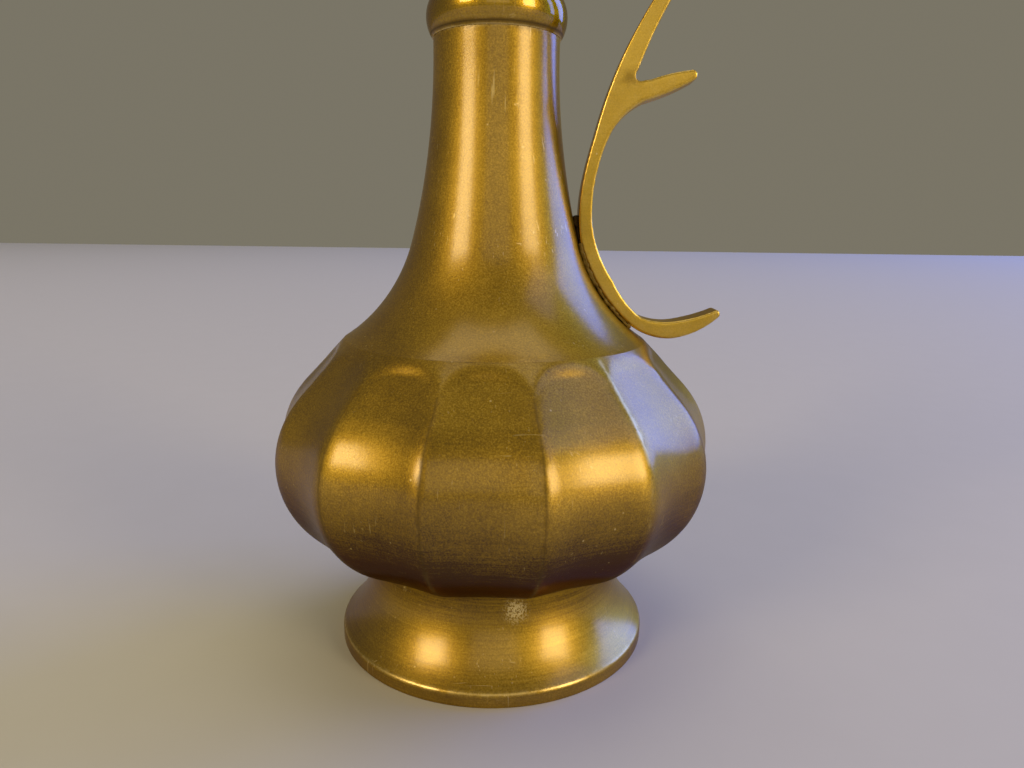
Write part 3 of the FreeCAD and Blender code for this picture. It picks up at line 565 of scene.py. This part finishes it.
lip = dict(voxel=0.28, rounds=4, wornAbove=186.2, low=163.0)
lipMesh = remeshed(copyNode("pouring_lip"), lip["voxel"])
relax(lipMesh, lip["rounds"])
paintMask(lipMesh, "wear", lambda vert: 0.8 * (vert.co.z > lip["wornAbove"] * mm))
paintMask(lipMesh, "soil", bands((0.8, lip["low"], 1.5)))
putAway("pouringLip", lipMesh, neckBrass, "ewer", "spun_brass", "pouring_lip", hardAngle=60.0)
print("mouth and rim made")


# handle

handle = dict(
    voxel=0.3, rounds=5, wobble=0.08, wobbleScale=120.0,
    lean=0.65, leanHeight=108.0, leanBelow=7.0, leanAbove=14.0, forkRadius=31.0, forkHeight=139.0)
handleMesh = remeshed(copyNode("handle"), handle["voxel"])
relax(handleMesh, handle["rounds"])
for vert in handleMesh.verts:  # leans in to the neck just above the solder
    height = vert.co.z / mm
    reach = handle["leanBelow"] if height < handle["leanHeight"] else handle["leanAbove"]
    vert.co.x -= handle["lean"] * peak(height, handle["leanHeight"], reach) * mm
wobble(handleMesh, handle["wobble"], handle["wobbleScale"])
handleMesh.normal_update()
forkBand = bands((0.5, handle["forkHeight"], 2.0))
paintMask(handleMesh, "wear", edgeRub(0.45, 0.72, 0.2))
paintMask(handleMesh, "soil", lambda vert: forkBand(vert) * peak(vert.co.x / mm, handle["forkRadius"], 3.0))
putAway("branchHandle", handleMesh, castBrass, "ewer", "cast_brass", "handle", hardAngle=75.0)

solder = dict(
    voxel=0.25, rounds=2, lumps=0.5, lumpScale=900.0, gapShadeAbove=102.0, fillWidth=5.0,
    fill=[  # side view of the solder that runs up into the gap, as radius and height; its top is painted dark as the shadow in the gap
        (20.62, 100.5), (21.05, 100.5), (20.85, 101.5), (20.45, 104.0), (20.30, 106.0), (20.25, 107.8),
        (18.92, 107.8), (19.10, 107.0), (19.80, 104.0)])
solderBlank = copyNode("handle_solder")
fillSide = solderBlank.faces.new([
    solderBlank.verts.new((x * mm, -solder["fillWidth"] / 2 * mm, z * mm)) for x, z in solder["fill"]])
fillEnd = bmesh.ops.extrude_face_region(solderBlank, geom=[fillSide], use_keep_orig=True)["geom"]
bmesh.ops.translate(
    solderBlank, vec=(0, solder["fillWidth"] * mm, 0),
    verts=[item for item in fillEnd if isinstance(item, bmesh.types.BMVert)])
bmesh.ops.recalc_face_normals(solderBlank, faces=solderBlank.faces[:])
solderMesh = remeshed(solderBlank, solder["voxel"])
relax(solderMesh, solder["rounds"])
wobble(solderMesh, solder["lumps"], solder["lumpScale"])
# painted shadow: above this height the solder is dark as the shade in the gap; below it half as dark
paintMask(solderMesh, "soil", lambda vert: 1.0 if vert.co.z / mm > solder["gapShadeAbove"] else 0.5)
putAway("solderSeam", solderMesh, solderAndGapShade, "ewer", "solder", "handle_solder", hardAngle=80.0)
print("handle cast and soldered")


# lid

lid = dict(
    radius=rim["radius"], low=191.9, shelf=193.5, domeRadius=16.5, domeCurve=18.61, seatRadius=5.2,
    seat=202.76, bore=15.35, innerCurve=17.31, wall=1.35, pinHole=1.55, softEdge=0.15, turns=160,
    darkRadius=16.6, darkAbove=193.2)
dome = turnOutline([
    (lid["bore"], lid["low"]),
    (lid["radius"], lid["low"]),
    (lid["radius"], lid["shelf"]),
    (lid["domeRadius"], lid["shelf"], 24, "left", lid["domeCurve"]),
    (lid["seatRadius"], lid["seat"]),
    (lid["pinHole"], lid["seat"]),
    (lid["pinHole"], lid["seat"] - lid["wall"]),
    (lid["seatRadius"], lid["seat"] - lid["wall"], 16, "right", lid["innerCurve"]),
], lid["turns"], lid["softEdge"])
# a darker ring at the foot of the dome
domeFoot = hoop(0.7, lid["darkRadius"], 0.7)
paintMask(dome, "wear", hoop(0.7, lid["radius"], 0.3))
paintMask(dome, "soil", lambda vert: domeFoot(vert) * (vert.co.z > lid["darkAbove"] * mm))
putAway("lidDome", dome, turnedBrass, "lid", "spun_brass", "lid_dome")

thumb = dict(voxel=0.2, rounds=6)
thumbMesh = remeshed(copyNode("thumb_piece"), thumb["voxel"])
relax(thumbMesh, thumb["rounds"])
thumbMesh.normal_update()
paintMask(thumbMesh, "wear", edgeRub(0.8, 0.7, 0.25))
putAway("thumbPiece", thumbMesh, castBrass, "lid", "cast_brass", "thumb_piece", hardAngle=75.0)

plainNodes = {  # kept as the CAD made them
    "bowl_floor": innerBrass,
    "hinge_bracket": castBrass,
    "bracket_rivets": castBrass,
    "hinge_pin": castBrass,
    "lid_flange": innerBrass,
    "lid_strap": castBrass,
    "strap_rivets": castBrass,
    "finial_rosette": turnedBrass,
    "finial": turnedBrass,
    "finial_washer": innerBrass,
}
for name, material in plainNodes.items():
    nodes[name].data.materials.clear()
    nodes[name].data.materials.append(material)
print("lid made")


# floor, light and camera

ground = dict(
    size=3.0, dark=(0.590, 0.562, 0.470), light=(0.610, 0.582, 0.490), grainScale=60.0, roughness=0.8)
floorDesk = Desk("paleFloor")
floorGrain = floorDesk.cloud(floorDesk.place(), ground["grainScale"], 4.0)
floorDesk.plug(floorDesk.shader, {
    "Base Color": floorDesk.blend(floorGrain, ground["dark"], ground["light"]),
    "Roughness": ground["roughness"],
})
floorMesh = bmesh.new()
bmesh.ops.create_grid(floorMesh, x_segments=1, y_segments=1, size=ground["size"])
floorData = bpy.data.meshes.new("floor")
floorMesh.to_mesh(floorData)
floorMesh.free()
floorData.materials.append(floorDesk.material)
floor = bpy.data.objects.new("floor", floorData)
bpy.context.scene.collection.objects.link(floor)

lamps = [  # place in metres, width, height, watts, tint
    ((-3.40, -3.10, 2.00), 1.80, 1.70, 80.0, (1.0, 0.82, 0.52)),
    ((3.75, -2.75, 1.45), 1.70, 2.10, 82.0, (1.0, 0.82, 0.52)),
    ((5.50, 2.50, 2.35), 4.50, 4.20, 420.0, (0.14, 0.25, 1.0)),
    ((3.90, -1.35, 4.30), 2.60, 2.60, 24.0, (0.35, 0.42, 1.0)),
    ((0.50, -7.00, 2.90), 4.80, 4.40, 44.0, (1.0, 0.88, 0.66)),
    ((0.0, 1.00, 5.60), 4.50, 4.50, 74.0, (1.0, 0.95, 0.86)),
]
lampTarget = Vector((0, 0, 0.10))
for number, (place, width, height, watts, tint) in enumerate(lamps):
    data = bpy.data.lights.new(f"lamp{number}", "AREA")
    data.shape = "RECTANGLE"
    data.size = width
    data.size_y = height
    data.energy = watts
    data.color = tint
    lamp = bpy.data.objects.new(f"lamp{number}", data)
    lamp.location = place
    lamp.rotation_euler = (lampTarget - Vector(place)).to_track_quat("-Z", "Y").to_euler()
    bpy.context.scene.collection.objects.link(lamp)

studio = dict(tint=(0.42, 0.385, 0.29), strength=0.46)
world = bpy.data.worlds.new("studio")
world.use_nodes = True
backdrop = world.node_tree.nodes["Background"]
backdrop.inputs["Color"].default_value = (*studio["tint"], 1)
backdrop.inputs["Strength"].default_value = studio["strength"]
bpy.context.scene.world = world

shot = dict(
    place=(7.465, -185.85, 105.76), pitch=12.20, yaw=-0.90, roll=0.71, lens=26.02, sensor=36.0, nearest=10.0)
yaw, pitch, roll = (math.radians(shot[key]) for key in ("yaw", "pitch", "roll"))
ahead = Vector((math.sin(yaw) * math.cos(pitch), math.cos(yaw) * math.cos(pitch), -math.sin(pitch)))
right = Vector((math.cos(yaw), -math.sin(yaw), 0))
over = right.cross(ahead)
tiltedRight = right * math.cos(roll) + over * math.sin(roll)
tiltedOver = over * math.cos(roll) - right * math.sin(roll)
turnMatrix = Matrix((tiltedRight, tiltedOver, -ahead)).transposed()
cameraData = bpy.data.cameras.new("camera")
cameraData.lens = shot["lens"]
cameraData.sensor_width = shot["sensor"]
cameraData.clip_start = shot["nearest"] * mm
camera = bpy.data.objects.new("camera", cameraData)
camera.matrix_world = Matrix.Translation(Vector(shot["place"]) * mm) @ turnMatrix.to_4x4()
bpy.context.scene.collection.objects.link(camera)
bpy.context.scene.camera = camera
bpy.context.scene.view_settings.view_transform = "Standard"
print("floor, lamps and camera placed")
